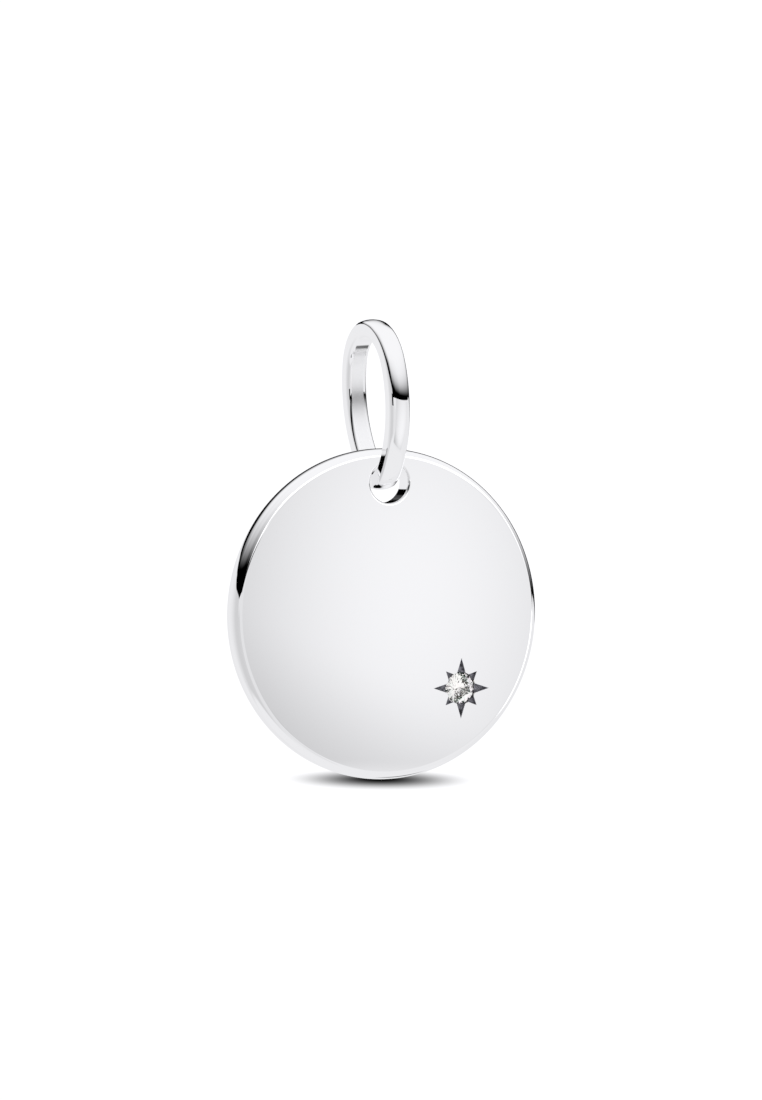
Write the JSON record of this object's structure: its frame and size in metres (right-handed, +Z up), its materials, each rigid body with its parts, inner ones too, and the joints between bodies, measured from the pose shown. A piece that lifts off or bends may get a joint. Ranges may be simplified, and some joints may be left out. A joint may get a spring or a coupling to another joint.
{
  "type": "tag pendant",
  "caption": "Round polished metal tag with a small clear stone set in an eight-pointed star, hanging from an egg-shaped bail through a hole near its rim.",
  "frame": {"origin": "where the chain sits: the middle of the bail's inner top, which holds the pendant up", "axes": "+Z up, -Y out of the tag's face, +X across the tag to the right as seen from the front. The tag hangs plumb and the bail leans 4.5 degrees sideways, its top towards -X"},
  "size_m": [0.02, 0.0076, 0.0278],
  "materials": {
    "tag_silver": "mirror-polished silver",
    "bail_silver": "mirror-polished silver",
    "clear_stone": "faceted, polished, colourless",
    "darkened_silver": "oxidised matt floor of the star recess, which is part of the disc"
  },
  "bodies": {
    "bail": {"bail": "bail_silver"},
    "tag": {"disc": "tag_silver", "stone": "clear_stone"}
  },
  "joints": [
    {"name": "tag_swing", "type": "hinge", "parent": "bail", "child": "tag", "pos_m": [0.00095, 0, -0.00871], "axis": [0, 1, 0], "range_deg": [-80, 80]}
  ]
}
